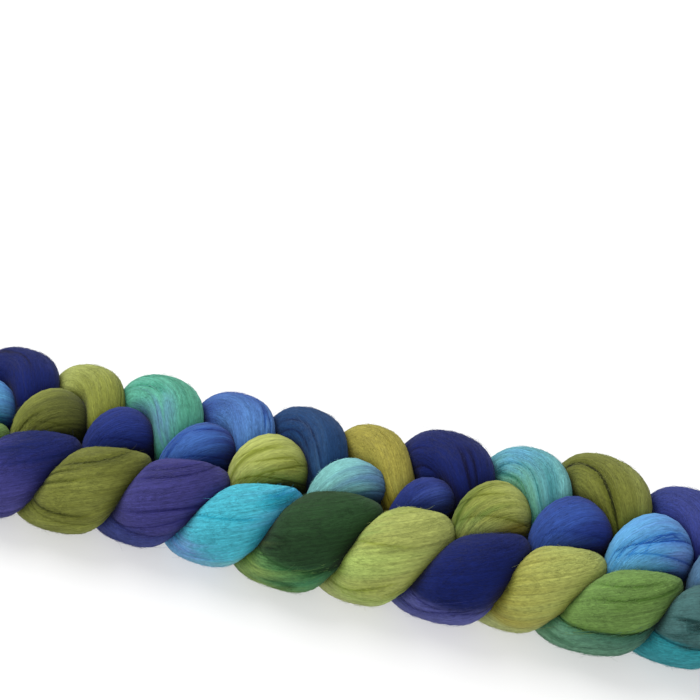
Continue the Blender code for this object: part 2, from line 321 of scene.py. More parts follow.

# Where another dye ran into a lobe, and one patch of painted light.  Columns:
# stitch, part, route point and angle of the middle, how far it reaches along in
# route points and round in degrees, its dye, and how strong it is
STAINS_AND_PAINTED_LIGHT = (
    (3, 1, 8.5, 110, 1.0, 40, "violet", 0.5),
    (4, 1, 8.5, 120, 0.5, 30, "yellow_green", 0.2),
    (4, 1, 7.5, 170, 0.5, 40, "dark_olive", 0.4),
    (5, 0, 3.5, -100, 0.5, 20, "steel", 0.9),
    (5, 0, 3.5, -145, 1.0, 20, "forest", 0.3),
    (6, 0, 3.0, -100, 1.0, 25, "royal", 0.5),
    (6, 1, 7.5, 150, 0.5, 25, "sky", 0.6),
    (6, 1, 10.0, 90, 0.5, 30, "lavender", 0.6),
    (7, 0, 4.0, -110, 1.0, 10, "steel", 0.4),
    (7, 1, 10.0, 90, 0.5, 40, "lime", 0.5),
    (7, 1, 8.0, 110, 0.5, 30, "pine", 0.6),
    (8, 1, 8.5, 170, 0.5, 20, "grass", 0.4),
    (8, 2, 15.5, -70, 0.5, 50, "slate_blue", 0.3),
    # Painted light, not a dye: lightens the end of this bump where the neighbouring turns shade it
    (9, 2, 16.0, -70, 1.0, 60, "periwinkle", 0.2),
    (10, 0, 2.0, -110, 0.5, 30, "sky", 0.5),
    (10, 0, 3.5, -80, 1.0, 15, "jade", 0.7),
    (10, 0, 3.5, -140, 1.0, 15, "pale_aqua", 0.5),
    (10, 1, 9.5, 150, 0.5, 40, "olive", 0.5),
    (10, 2, 14.0, -80, 0.5, 40, "grass", 0.6),
    (11, 0, 2.0, -95, 0.5, 20, "dark_olive", 0.5),
    (11, 0, 3.0, -150, 1.0, 10, "yellow_green", 0.4),
    (12, 2, 15.5, -60, 0.5, 30, "lavender", 0.6),
    (14, 0, 3.0, 60, 1.5, 60, "lime", 0.5),
    (14, 0, 5.5, -100, 1.5, 60, "forest", 0.6),
    (14, 0, 8.5, 90, 1.0, 80, "seafoam", 0.7),
)
END_DYES = ("lime", "grass")  # the starting end and the finishing end
END_DYE_GAPS = (4, 5)  # from the first and the last lobe's dye, in route points
SECTOR_WANDER = 0.20  # radians
SECTOR_EDGE = (0.30, 0.24)  # how soft its edge is, and how much less at a full crease
BAND_HOLD = 0.15  # share of a band at each end that keeps its own dye
STAIN_EDGE = 4  # how much more a stain's edge wavers than a sector's

# The far leg, the near leg and the bump.  Columns: its dyes, where they are set in
# route points, and how many degrees the lower sector opens each route point
LOBES = (
    (FAR_DYES, (1.2, 3.8), 4.0),
    (NEAR_DYES, (7.2, 10.9), 13.0),
    (BUMP_DYES, (13.6, 16.4), 0.0),
)
PART_FADE = 0.8  # how far a part fades at its ends, in route points

# Where the angles of a lobe are counted from: the middle of a far leg's loop, in
# stitches from the stitch itself, and the ways that a near leg and a bump face
LOOP_MIDDLE = (-0.78, 0.42, 0.45)
NEAR_LEG_FACES, BUMP_FACES = (0.0, 0.0, -1.0), (0.0, -1.0, -0.3)


def add_settings():
    """One colour property for every dye, so that each can be changed."""
    for name, colour in DYES.items():
        label = name.replace("_", " ").capitalize()
        about = f"The {label.lower()} dye"
        WoolDyes.__annotations__[name] = FloatVectorProperty(
            name=label, description=about, subtype="COLOR", min=0.0, max=1.0, default=colour
        )


class WoolDyes(bpy.types.PropertyGroup):
    """The colour of each dye."""


class BraidSizes(bpy.types.PropertyGroup):
    """The sizes that a maker would change."""

    pitch: FloatProperty(
        name="Stitch pitch",
        description="From one stitch to the next, along the braid",
        unit="LENGTH",
        default=0.032,
    )
    streak_depth: FloatProperty(
        name="Streak depth",
        description="How deep the soft ridges along the strand are, in stitches",
        default=0.012,
    )
    crease_depth: FloatProperty(
        name="Crease depth",
        description="How deep the sharp creases along the strand are, in stitches",
        default=0.016,
    )
    laid_fibres: IntProperty(
        name="Laid fibres",
        description="Fibres that lie loose along the surface of the strand",
        default=7000,
    )
    fuzz_fibres: IntProperty(
        name="Fuzz fibres",
        description="Short fibres that make the strand's surface soft",
        default=27000,
    )
    flyaway_fibres: IntProperty(
        name="Flyaway fibres",
        description="Fibres that stand out from the strand",
        default=900,
    )
    tuft_fibres: IntProperty(
        name="Tuft fibres",
        description="Fibres that run on past the tip of the finishing end",
        default=500,
    )
    fibre_radius: FloatProperty(
        name="Fibre radius",
        description="Half the thickness of a loose tuft of fibre",
        unit="LENGTH",
        default=0.00007,
        precision=6,
    )


# ---- the route ----


def shifted(points, along=0.0, across=0.0, size=1.0):
    """The route points moved, with their radius scaled."""
    moved = np.array(points, float)
    moved[:, 0] += along
    moved[:, 1] += across
    moved[:, 3] *= size
    return moved


def stitch_points(row):
    """The route of one stitch, from its row of the variation table."""
    number, sizes, along, across = row[0], row[1:4], row[4:7], row[7:10]
    parts = zip((FAR_LEG, NEAR_LEG, BUMP), along, across, sizes)
    far, near, bump = (shifted(points, number + x, y, size) for points, x, y, size in parts)
    head, turn, dive = (shifted(points, number) for points in (HEAD, TURN, DIVE))
    return np.vstack((far, head, near, turn, bump, dive))


def strand_points():
    """The whole route: the starting end, every stitch and the finishing end."""
    parts = [shifted(START_END, FIRST_STITCH)]
    parts += [stitch_points(row) for row in STITCH_VARIATION]
    parts.append(shifted(FINISH_END, LAST_STITCH))
    return np.vstack(parts)


def smooth_curve(points, at):
    """A Catmull-Rom curve through the points, read at these places on it."""
    last = len(points) - 1
    span = np.clip(np.floor(at).astype(int), 0, last - 1)
    u = (at - span)[:, None]
    p0, p1, p2, p3 = (points[np.clip(span + k, 0, last)] for k in (-1, 0, 1, 2))
    linear = p2 - p0
    square = 2 * p0 - 5 * p1 + 4 * p2 - p3
    cubic = 3 * p1 - p0 - 3 * p2 + p3
    return 0.5 * (2 * p1 + linear * u + square * u**2 + cubic * u**3)


def lengths_along(centres):
    """The distance along the strand at each of its centres."""
    steps = np.linalg.norm(np.diff(centres, axis=0), axis=1)
    return np.concatenate(([0.0], np.cumsum(steps)))


def even_rings(points, count):
    """Centres, radii and places on the route, at even distances along it."""
    at = np.linspace(0, len(points) - 1, (len(points) - 1) * CURVE_SAMPLES + 1)
    curve = smooth_curve(points, at)
    along = lengths_along(curve[:, :3])
    wanted = np.linspace(0, along[-1], count)
    rings = np.stack([np.interp(wanted, along, column) for column in curve.T], 1)
    for _ in range(CURVE_SMOOTHING):
        rings[1:-1, :3] = (rings[:-2, :3] + 2 * rings[1:-1, :3] + rings[2:, :3]) / 4
    return rings[:, :3], rings[:, 3], np.interp(wanted, along, at)


def carried_frames(centres):
    """Two unit vectors across the strand at each centre, carried without twist."""
    tangents = np.gradient(centres, axis=0)
    tangents /= np.linalg.norm(tangents, axis=1, keepdims=True)
    side = np.zeros_like(centres)
    carried = np.array((0.0, 1.0, 0.0))
    for i, tangent in enumerate(tangents):
        carried = carried - tangent * (carried @ tangent)
        carried /= np.linalg.norm(carried)
        side[i] = carried
    return side, np.cross(tangents, side)


def ring_directions(side, other, sides):
    """Unit vectors from each centre to the points of its ring."""
    angle = np.linspace(0, 2 * np.pi, sides, endpoint=False)[None, :, None]
    return np.cos(angle) * side[:, None] + np.sin(angle) * other[:, None]


def reach(points, centres, radii):
    """How far the points lie from the nearest centre and the nearest surface."""
    gaps = np.linalg.norm(points[:, None] - centres[None], axis=2)
    return gaps.min(1), (gaps - THICK_WINS * radii[None]).min(1)


def unit(vectors):
    """The vectors at a length of 1."""
    return vectors / (np.linalg.norm(vectors, axis=-1, keepdims=True) + TINY)


def soft_lower(a, b, sharpness):
    """The smaller of a and b, rounded where they are nearly equal."""
    return (a**-sharpness + b**-sharpness) ** (-1 / sharpness)


def swell(centres, free_radii, directions):
    """The radius of the strand at every ring point.

    A ring point moves out from its centre until it comes nearer to another
    turn of the strand than to its own, or passes the inside of its own bend.
    """
    sides = directions.shape[1]
    along = lengths_along(centres)
    shares = np.linspace(0, 1, SWELL_STEPS + 1)
    radii = np.repeat(free_radii[:, None], sides, 1)
    for i, (centre, free) in enumerate(zip(centres, free_radii)):
        near = np.linalg.norm(centres - centre, axis=1) < NEIGHBOUR_REACH * free_radii.max()
        own = near & (np.abs(along - along[i]) <= OWN_REACH)
        other = near & ~own
        out = shares[1:] * free
        tests = (centre + directions[i][:, None] * out[None, :, None]).reshape(-1, 3)
        own_gap, own_reach = reach(tests, centres[own], free_radii[own])
        room = own_gap - np.tile(out, sides) * BEND_LIMIT
        if other.any():
            _, other_reach = reach(tests, centres[other], free_radii[other])
            room = np.minimum(room, other_reach - own_reach)
        start = np.full((sides, 1), CENTRE_ROOM * free)
        room = np.hstack((start, room.reshape(sides, -1)))
        blocked = room < 0
        for j in np.flatnonzero(blocked.any(1)):
            k = blocked[j].argmax()
            share = room[j, k - 1] / (room[j, k - 1] - room[j, k])
            limit = free * (shares[k - 1] + share / SWELL_STEPS)
            radii[i, j] = soft_lower(free, max(limit, LEAST_RADIUS), TURN_SHARPNESS)
        down = np.minimum(directions[i][:, 2], -TINY)
        to_floor = np.maximum(-centre[2] / down, LEAST_RADIUS)
        radii[i] = soft_lower(radii[i], to_floor, FLOOR_SHARPNESS)
    return radii


def relaxed(radii):
    """Ring radii evened out a little around the ring and along the strand."""
    radii = (np.roll(radii, 1, 1) + 2 * radii + np.roll(radii, -1, 1)) / 4
    for _ in range(2):
        padded = np.pad(radii, ((1, 1), (0, 0)), mode="edge")
        radii = (padded[:-2] + 2 * padded[1:-1] + padded[2:]) / 4
    return radii


# ---- patterns that follow the strand ----


def mixed(a, b, share):
    """a where the share is 0, b where it is 1, and between them in between."""
    return a * (1 - share) + b * share


def between(field, i, j, u, v):
    """A field read a share u past its row i and a share v past its column j.

    Its last column is followed by its first.
    """
    right = (j + 1) % field.shape[1]
    near = mixed(field[i, j], field[i, right], v)
    far = mixed(field[i + 1, j], field[i + 1, right], v)
    return mixed(near, far, u)


def streaks(seed, shape, cells):
    """Smooth noise from -1 to 1 over rings by sides, with `cells` cells each way.

    It closes on itself round the strand.  Few cells along and many round
    give long streaks.
    """
    lattice = np.random.default_rng(seed).uniform(-1, 1, (cells[0] + 2, cells[1]))
    row = np.linspace(0, cells[0], shape[0])[:, None]
    column = np.arange(shape[1])[None, :] * cells[1] / shape[1]
    i, j = row.astype(int), column.astype(int)
    return between(lattice, i, j, eased(0, 1, row - i), eased(0, 1, column - j))


def resampled(values, rings, sides):
    """A rings-by-sides field read at a finer spacing, smoothly both ways."""
    at = np.linspace(0, len(values) - 1, rings)
    longer = smooth_curve(values, at)
    wrapped = np.hstack((longer[:, -1:], longer, longer[:, :3]))
    around = 1 + np.arange(sides) * values.shape[1] / sides
    return smooth_curve(wrapped.T, around).T


def angle_apart(a, b):
    """The smallest turn from b to a."""
    return (a - b + np.pi) % (2 * np.pi) - np.pi


def eased(low, high, value):
    """0 below low, 1 above high, and smooth between."""
    share = np.clip((value - low) / (high - low), 0, 1)
    return share * share * (3 - 2 * share)


def bell(value):
    """1 where the value is 0, falling smoothly to 0 on both sides."""
    return np.exp(-(value**2))


# ---- the strand ----


class Strand:
    """The whole strand: its surface, its dye and the way its fibres run."""

    def __init__(self, sizes, dyes):
        self.pitch = sizes.pitch
        rings = RINGS_PER_STITCH * STITCH_COUNT + 1
        self.shape = (rings, SIDES)
        self.centres, self.free, self.place = even_rings(strand_points(), rings)
        self.side, self.other = carried_frames(self.centres)
        self.directions = ring_directions(self.side, self.other, SIDES)
        self.angle = np.linspace(0, 2 * np.pi, SIDES, endpoint=False)[None, :]
        rough = slice(None, None, ROUGH_STEP)
        facing = ring_directions(self.side[rough], self.other[rough], ROUGH_SIDES)
        radii = relaxed(swell(self.centres[rough], self.free[rough], facing))
        self.radii = resampled(radii, rings, SIDES)
        self.along = lengths_along(self.centres)
        number = (self.place - len(START_END)) / POINTS_PER_STITCH
        self.stitch = np.floor(number).astype(int) + FIRST_STITCH
        self.phase = (number % 1) * POINTS_PER_STITCH

        self.press = np.clip(1 - self.radii / self.free[:, None], 0, 1)
        self.bearings = self.find_bearings()
        self.sectors = list(self.find_sectors())
        self.add_relief(sizes)
        self.skin = self.placed()
        self.colour = self.dyed(dyes)
        # What the material paints shade from: how pressed each point is, how strong the nearest
        # crease is, and the angle to it
        self.shade = np.stack((self.press, self.crease, self.crease_gap), -1)
        lay = (np.cos(self.angle), np.sin(self.angle), self.along[:, None])
        self.lay = np.stack(np.broadcast_arrays(*lay), -1)
        self.ring_gap = self.along[1] * self.pitch
        round_step = np.roll(self.skin, -1, 1) - np.roll(self.skin, 1, 1)
        normal = np.cross(round_step, np.gradient(self.skin, axis=0))
        self.normal = unit(normal * np.sign((normal * self.directions).sum(2, keepdims=True)))

    def noise(self, layers, base=0.0):
        """Layers of streaks over the whole strand, added to this base."""
        for seed, along, around, strength in layers:
            cells = (STITCH_COUNT * along, around)
            base = base + strength * streaks(seed, self.shape, cells)
        return base

    def part_share(self, start, end):
        """1 inside this part of every stitch, and 0 outside it."""
        rise = eased(start - PART_FADE, start + PART_FADE, self.phase)
        fall = 1 - eased(end - PART_FADE, end + PART_FADE, self.phase)
        return rise * fall * (self.stitch <= LAST_STITCH)

    def from_stitch(self, table, column):
        """One column of a table with a row per stitch, read at every ring."""
        values = np.array([row[column] for row in table], float)
        return values[np.clip(self.stitch - FIRST_STITCH, 0, len(values) - 1)]

    def find_bearings(self):
        """Where each part's angles are counted from, at every ring: into the loop
        on a far leg, down on a near leg and to the near side on a bump."""
        number = self.stitch[:, None] * np.array((1.0, 0.0, 0.0))
        inside = number + np.array(LOOP_MIDDLE) - self.centres
        return [
            np.arctan2((self.other * towards).sum(1), (self.side * towards).sum(1))
            for towards in (inside, NEAR_LEG_FACES, BUMP_FACES)
        ]

    def find_sectors(self):
        """For every lobe: how far inside its lower sector each point lies, in
        radians, its share of the strand there, and the depth of its crease."""
        wander = streaks(11, (self.shape[0], 1), (STITCH_COUNT * 5, 1))[:, 0]
        for (table, span, twist), bearing in zip(LOBES, self.bearings):
            opened = (self.phase - sum(span) / 2) * twist
            half = np.radians(self.from_stitch(table, 5) + opened)
            middle = bearing + wander * SECTOR_WANDER
            away = np.abs(angle_apart(self.angle, middle[:, None]))
            share, depth = self.part_share(*span), self.from_stitch(table, 6)
            yield half[:, None] - away, share[:, None], depth[:, None]

    def fold_offsets(self):
        """Each fold's share at every point, and the angle from the fold to it."""
        out, into = FOLD_ENDS
        for stitch, part, start, end, first, last, depth in FOLDS:
            along = np.clip((self.phase - start) / (end - start), 0, 1)
            middle = self.bearings[part] + np.radians(first + (last - first) * along)
            rise = eased(start - out, start + into, self.phase)
            fall = 1 - eased(end - into, end + out, self.phase)
            share = depth * rise * fall * (self.stitch == stitch)
            yield share[:, None], angle_apart(self.angle, middle[:, None])

    def add_relief(self, sizes):
        """Soft ridges, sharp creases, long folds and the groove between plies.

        It also keeps how strong the nearest crease is at every point, and the
        angle from that crease, so that the material can paint a fine line of shade there.
        """
        relief = sizes.streak_depth * self.noise(RELIEF_NOISE)
        across = self.noise(CREASE_NOISE)
        where = eased(*CREASE_ONSET, self.noise(CREASE_PLACES))
        where = where * (self.stitch <= LAST_STITCH)[:, None]
        crease = np.clip(1 - np.abs(across) * CREASE_SHARPNESS, 0, 1) * where
        relief -= sizes.crease_depth * crease
        crease = CREASE_SHARE * crease
        gap = across * CREASE_SLOPE
        lines = [(share * depth, inside, PLY_HOLLOW) for inside, share, depth in self.sectors]
        lines += [(share, offset, FOLD_HOLLOW) for share, offset in self.fold_offsets()]
        for share, offset, hollow in lines:
            groove = GROOVE_DEPTH * bell(offset / GROOVE_WIDTH)
            relief -= (groove + hollow * bell(offset / HOLLOW_WIDTH)) * share
            here = bell(offset / LINE_WIDTH) * share
            gap = np.where(here > crease, offset, gap)
            crease = np.maximum(crease, here)
        self.crease = crease
        self.crease_gap = np.clip(gap / CREASE_REACH, -1, 1)
        self.radii = self.radii + relief

    def placed(self):
        """Points of the surface in metres, in the part's own frame."""
        skin = self.centres[:, None] + self.directions * self.radii[:, :, None]
        skin = skin * self.pitch
        middle = (skin.min((0, 1)) + skin.max((0, 1))) / 2
        low, high = (np.array(corner) for corner in CAD_BOX)
        shift = (low + high) / 2 - middle
        skin[..., :2] += shift[:2]
        skin[..., 2] = np.maximum(skin[..., 2] - FLAT_DEPTH, 0.0)
        return skin

    def dyed(self, dyes):
        """The colour at every point: dye bands along the strand, drawn out in streaks, with stains
        and one patch of painted light.
        """
        at = self.phase + (self.stitch - FIRST_STITCH) * POINTS_PER_STITCH
        at = at[:, None] + self.noise(BAND_NOISE)
        colour = read_bands(dye_bands(dyes, 1), at)
        under = read_bands(dye_bands(dyes, 3), at)
        edge = self.noise(SECTOR_NOISE)
        for inside, share, depth in self.sectors:
            soft = SECTOR_EDGE[0] - SECTOR_EDGE[1] * depth
            lower = (eased(-1, 1, (inside + edge) / soft) * share)[..., None]
            colour = mixed(colour, under, lower)
        # Stains of other dyes, and one patch of painted light on a shaded bump
        for stitch, part, point, angle, along, around, dye, strength in STAINS_AND_PAINTED_LIGHT:
            number = (stitch - FIRST_STITCH) * POINTS_PER_STITCH + point
            middle = self.bearings[part] + math.radians(angle)
            off = angle_apart(self.angle, middle[:, None]) / math.radians(around)
            off = ((at - number) / along) ** 2 + (off + STAIN_EDGE * edge) ** 2
            stain_and_light = (strength * np.exp(-off))[..., None]
            colour = mixed(colour, np.array(getattr(dyes, dye)), stain_and_light)
        return np.clip(colour * self.noise(TONE_NOISE, 1.0)[..., None], 0, 1)


def dye_bands(dyes, column):
    """(places, colours) along the strand, from two columns of the dye tables."""
    bands = [
        (i * POINTS_PER_STITCH + place, table[i][column + k])
        for i in range(STITCH_COUNT)
        for table, span, _ in LOBES
        for k, place in enumerate(span)
    ]
    bands.insert(0, (bands[0][0] - END_DYE_GAPS[0], END_DYES[0]))
    bands.append((bands[-1][0] + END_DYE_GAPS[1], END_DYES[1]))
    places = np.array([place for place, _ in bands])
    return places, np.array([tuple(getattr(dyes, name)) for _, name in bands])


def read_bands(bands, at):
    """The colour of the bands at each place, holding near each band's middle."""
    places, colours = bands
    at = np.clip(at, places[0], places[-1])
    i = np.clip(np.searchsorted(places, at, side="right") - 1, 0, len(places) - 2)
    share = (at - places[i]) / (places[i + 1] - places[i])
    share = eased(BAND_HOLD, 1 - BAND_HOLD, share)[..., None]
    return mixed(colours[i], colours[i + 1], share)


@functools.lru_cache(maxsize=1)
def the_strand():
    """The strand, worked once for all the operators."""
    scene = bpy.context.scene
    return Strand(scene.braid_sizes, scene.wool_dyes)


# ---- meshes ----


def linked(name, mesh, material):
    """A smooth-shaded object of this mesh, in the scene."""
    mesh.shade_smooth()
    mesh.materials.append(material)
    piece = bpy.data.objects.new(name, mesh)
    bpy.context.scene.collection.objects.link(piece)
    return piece


def finished(name, bm, material):
    """The object made from a bmesh."""
    mesh = bpy.data.meshes.new(name)
    bm.to_mesh(mesh)
    bm.free()
    return linked(name, mesh, material)


def seated(piece):
    """Fits the piece to the part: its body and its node."""
    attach(piece, BODY)
    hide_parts(NODE)


def keep_on_points(mesh, name, values):
    """Keeps a vector for every point of the mesh, or a colour under "dye"."""
    values = np.array(values, np.float32).reshape(-1, 3)
    kind, key = "FLOAT_VECTOR", "vector"
    if name == "dye":
        kind, key = "FLOAT_COLOR", "color"
        values = np.hstack((values, np.ones((len(values), 1), np.float32)))
    mesh.attributes.new(name, kind, "POINT").data.foreach_set(key, values.ravel())


def length_of_strand(strand, name, first, last, material):
    """A closed length of the strand, between two of its rings."""
    rings = last - first
    bm = bmesh.new()
    bmesh.ops.create_grid(bm, x_segments=SIDES, y_segments=rings - 1, size=1.0)
    skin = strand.skin[first:last]
    wrapped = np.concatenate((skin, skin[:, :1]), axis=1).reshape(-1, 3)
    for vert, place in zip(bm.verts, wrapped):
        vert.co = place
    bm.verts.ensure_lookup_table()
    starts = range(0, rings * (SIDES + 1), SIDES + 1)
    pairs = {bm.verts[start + SIDES]: bm.verts[start] for start in starts}
    bmesh.ops.weld_verts(bm, targetmap=pairs)
    bmesh.ops.holes_fill(bm, edges=bm.edges, sides=SIDES)
    bmesh.ops.recalc_face_normals(bm, faces=bm.faces)
    piece = finished(name, bm, material)
    keep_on_points(piece.data, "dye", strand.colour[first:last])
    keep_on_points(piece.data, "shade", strand.shade[first:last])
    keep_on_points(piece.data, "lay", strand.lay[first:last])
    seated(piece)


def on_skin(strand, field, ring, side):
    """A field of the strand read at fractional rings and sides."""
    i = np.clip(np.floor(ring).astype(int), 0, strand.shape[0] - 2)
    j = np.floor(side).astype(int)
    u, v = np.clip(ring - i, 0, 1)[..., None], (side - j)[..., None]
    return between(field, i, j % SIDES, u, v)


OPEN_PRESS = 0.02  # strand pressed less than this lies open to view
FIBRE_FLOOR = 0.0001  # the least height of a fibre
RING_MARGIN = 0.01  # how far a fibre stays from the last ring


def rooted(strand, place, normal, ring, side, tone):
    """Paths kept above the floor, with their normals and the dyes of their roots."""
    place[..., 2] = np.maximum(place[..., 2], FIBRE_FLOOR)
    dye = np.clip(strand.colour[ring, side] * tone, 0, 1)
    return place, normal * np.ones_like(place), dye[:, None] * np.ones_like(place)


def fibre_paths(strand, seed, count, points, length, spread, lift):
    """Paths over the surface: (count, points, 3), with their normals and dyes.

    Each one sets out from a root on the open surface, whose dye it keeps.  It
    leaves the strand's direction by a random angle of this spread, bends, and
    rises by lift(share along it, how lively it is).
    """
    rng = np.random.default_rng(seed)
    open_rings, open_sides = np.nonzero(strand.press < OPEN_PRESS)
    pick = rng.integers(0, len(open_rings), count)
    root_ring, root_side = open_rings[pick], open_sides[pick]
    share = np.linspace(0, 1, points)[None, :]
    distance = rng.uniform(*length, (count, 1)) * rng.choice((-1, 1), (count, 1))
    angle = rng.normal(0, spread, (count, 1)) + rng.normal(0, spread, (count, 1)) * share
    side_gap = 2 * np.pi * strand.free[root_ring] * strand.pitch / SIDES
    ring = root_ring[:, None] + distance * share * np.cos(angle) / strand.ring_gap
    side = root_side[:, None] + distance * share * np.sin(angle) / side_gap[:, None]
    ring = np.clip(ring, 0, strand.shape[0] - 1 - RING_MARGIN)
    place = on_skin(strand, strand.skin, ring, side)
    normal = on_skin(strand, strand.normal, ring, side)
    rise = lift(share, rng.random((count, 1)))
    place = place + normal * rise[..., None]
    tone = rng.uniform(*SURFACE_TONE, (count, 1))
    return rooted(strand, place, normal, root_ring, root_side, tone)


def tuft_paths(strand, seed, count, points, length, roots, gather, scatter):
    """Paths that gather at the tip of the finishing end and run on past it."""
    rng = np.random.default_rng(seed)
    middle = strand.skin.mean(1)
    heading = middle[-1] - middle[-4]
    heading /= np.linalg.norm(heading)
    ring = strand.shape[0] - 1 - rng.integers(1, roots, count)
    side = rng.integers(0, SIDES, count)
    start = strand.skin[ring, side]
    outward = start - middle[ring]
    gathered = middle[-1] + gather * outward
    end = middle[-1] + heading * rng.uniform(*length, (count, 1))
    end += rng.normal(0, scatter, (count, 3))
    share = np.linspace(0, 1, points)[None, :, None]
    place = start[:, None] * (1 - share) ** 2 + end[:, None] * share**2
    place += gathered[:, None] * 2 * share * (1 - share)
    normal = outward / np.linalg.norm(outward, axis=1, keepdims=True)
    tone = rng.uniform(*TUFT_TONE, (count, 1))
    return rooted(strand, place, normal[:, None], ring, side, tone)


FIBRE_TAPER = (0.06, 0.94, 0.6)  # of a sine's half turn: its start, end and power


def joined_fibres(name, paths, radius, material):
    """One mesh of thin three-sided fibres, tapered and closed at both ends.

    They are shaded as the surface under them is, so that they blend into it.
    """
    place, normal, dye = paths
    count, points = place.shape[:2]
    along = unit(np.gradient(place, axis=1))
    across = unit(np.cross(along, normal))
    up = np.cross(across, along)
    start, end, power = FIBRE_TAPER
    taper = np.sin(np.linspace(start, end, points) * np.pi)[None, :, None] ** power
    corners = []
    for angle in np.radians((90, 210, 330)):
        out = across * np.cos(angle) + up * np.sin(angle)
        corners.append(place + out * radius * taper)
    verts = np.stack(corners, 2).reshape(-1, 3)
    start = (np.arange(count) * points * 3)[:, None, None]
    ring = (np.arange(points - 1) * 3)[None, :, None]
    k = np.arange(3)[None, None, :]
    first, second = start + ring + k, start + ring + (k + 1) % 3
    walls = np.stack((second, first, first + 3, second + 3), -1).reshape(-1, 4)
    tips = start[:, 0] + np.array((0, 1, 2))
    tails = start[:, 0] + (points - 1) * 3 + np.array((2, 1, 0))
    mesh = bpy.data.meshes.new(name)
    mesh.from_pydata(verts, [], walls.tolist() + tips.tolist() + tails.tolist())
    piece = linked(name, mesh, material)
    mesh.normals_split_custom_set_from_vertices(np.repeat(normal, 3, 1).reshape(-1, 3))
    keep_on_points(mesh, "dye", np.repeat(dye[:, :, None], 3, 2))
    seated(piece)


# How high each kind of fibre rises, and how deep its root is tucked in
LYING_RISE, STANDING_RISE, FLYING_RISE, FLYING_WAVE = 0.0003, 0.0011, 0.0034, 0.0005
TUCK = 0.0001


def lying(share, lively):
    """A fibre that lies on the surface, with both ends tucked in."""
    return LYING_RISE * (0.25 + 0.75 * lively) * np.sin(share * np.pi) ** 0.7 - TUCK


def standing(share, lively):
    """A short fibre of the fuzz, rooted in the surface."""
    return STANDING_RISE * (0.15 + 0.85 * lively**2) * share - TUCK


def flying(share, lively):
    """A fibre that stands off the surface more and more towards its free end."""
    rise = FLYING_RISE * (0.15 + lively**2) * share**1.6
    return rise + FLYING_WAVE * np.sin(share * 7) - 2 * TUCK


# How each kind of fibre runs: points along it, its length, the angle in radians that
# it leaves the strand by, and how it rises.  The tuft's roots reach so many rings
# back, it is drawn in to a share of its width, and its ends scatter so many metres
LAID = {"points": 6, "length": (0.008, 0.025), "spread": 0.10, "lift": lying}
FUZZ = {"points": 3, "length": (0.002, 0.006), "spread": 0.60, "lift": standing}
FLYAWAY = {"points": 9, "length": (0.005, 0.018), "spread": 0.30, "lift": flying}
TUFT = {"points": 6, "length": (0.001, 0.009), "roots": 9, "gather": 0.22, "scatter": 0.0012}
SURFACE_TONE, TUFT_TONE = (0.88, 1.18), (0.75, 1.25)  # the dye's range from root to root


class BRAID_OT_work_strand(bpy.types.Operator):
    """Work the strand through every stitch of the chain"""

    bl_idname = "braid.work_strand"
    bl_label = "Work the Strand"

    def execute(self, context):
        strand = the_strand()
        material = wool_material()
        starts = range(FIRST_STITCH + STITCHES_A_PIECE, LAST_STITCH + 1, STITCHES_A_PIECE)
        cuts = [0, *(int(np.argmax(strand.stitch >= start)) for start in starts)]
        ends = cuts[1:] + [strand.shape[0] - 1]
        for i, (first, last) in enumerate(zip(cuts, ends)):
            length_of_strand(strand, f"strand_{i + 1}", first, last + 1, material)
        return {"FINISHED"}


class BRAID_OT_lay_fibres(bpy.types.Operator):
    """Lay loose fibres along the surface, and let some stand off it"""

    bl_idname = "braid.lay_fibres"
    bl_label = "Lay the Loose Fibres"

    def execute(self, context):
        sizes = context.scene.braid_sizes
        strand = the_strand()
        material = loose_fibre_material()

        def spread_fibres(name, kind, seed, count, thickness):
            paths = fibre_paths(strand, seed, count, **kind)
            joined_fibres(name, paths, sizes.fibre_radius * thickness, material)

        for i in (1, 2):
            spread_fibres(f"laid_fibres_{i}", LAID, 40 + i, sizes.laid_fibres // 2, 1.0)
            spread_fibres(f"fuzz_{i}", FUZZ, 50 + i, sizes.fuzz_fibres // 2, 0.6)
        spread_fibres("flyaway_fibres", FLYAWAY, 61, sizes.flyaway_fibres, 0.5)
        paths = tuft_paths(strand, 71, sizes.tuft_fibres, **TUFT)
        joined_fibres("tip_tuft", paths, sizes.fibre_radius * 1.2, material)
        return {"FINISHED"}


class BRAID_OT_pack_middle(bpy.types.Operator):
    """Pack the middle of the chain, where the turns meet"""

    bl_idname = "braid.pack_middle"
    bl_label = "Pack the Middle"

    def execute(self, context):
        pitch = context.scene.braid_sizes.pitch
        centre = Vector(PACKING_CENTRE) * pitch
        size = Vector(PACKING_SIZE) * pitch
        place = Matrix.Translation(centre) @ Matrix.Diagonal((*size, 1.0))
        turn = Matrix.Rotation(math.radians(90), 4, "Y")
        bm = bmesh.new()
        bmesh.ops.create_cone(
            bm, cap_ends=True, segments=32, radius1=0.5, radius2=0.5, depth=1.0, matrix=place @ turn
        )
        seated(finished("packed_middle", bm, packing_shade_material()))
        return {"FINISHED"}


# ---- materials ----


def new_material(name, inputs):
    """A material whose shader has these inputs, and its shader node."""
    material = bpy.data.materials.new(name)
    material.use_nodes = True
    shader = material.node_tree.nodes["Principled BSDF"]
    fill_inputs(shader, inputs)
    return material, shader


def fill_inputs(node, inputs):
    """Links each named input to a socket, or sets it to a value."""
    for name, value in inputs.items():
        if isinstance(value, bpy.types.NodeSocket):
            node.id_data.links.new(value, node.inputs[name])
        else:
            node.inputs[name].default_value = value


def new_node(tree, kind, inputs=None, **settings):
    """A shader node of this kind, with its settings made and its inputs filled."""
    node = tree.nodes.new("ShaderNode" + kind)
    for name, value in settings.items():
        setattr(node, name, value)
    fill_inputs(node, inputs or {})
    return node


def value_node(tree, operation, first, second=0.0):
    """The result of a Math node on two sockets or plain numbers."""
    inputs = {0: first, 1: second}
    return new_node(tree, "Math", inputs, operation=operation).outputs["Value"]


def kept(tree, name, kind="Vector"):
    """What the mesh keeps for its points under this name."""
    return new_node(tree, "Attribute", attribute_name=name).outputs[kind]


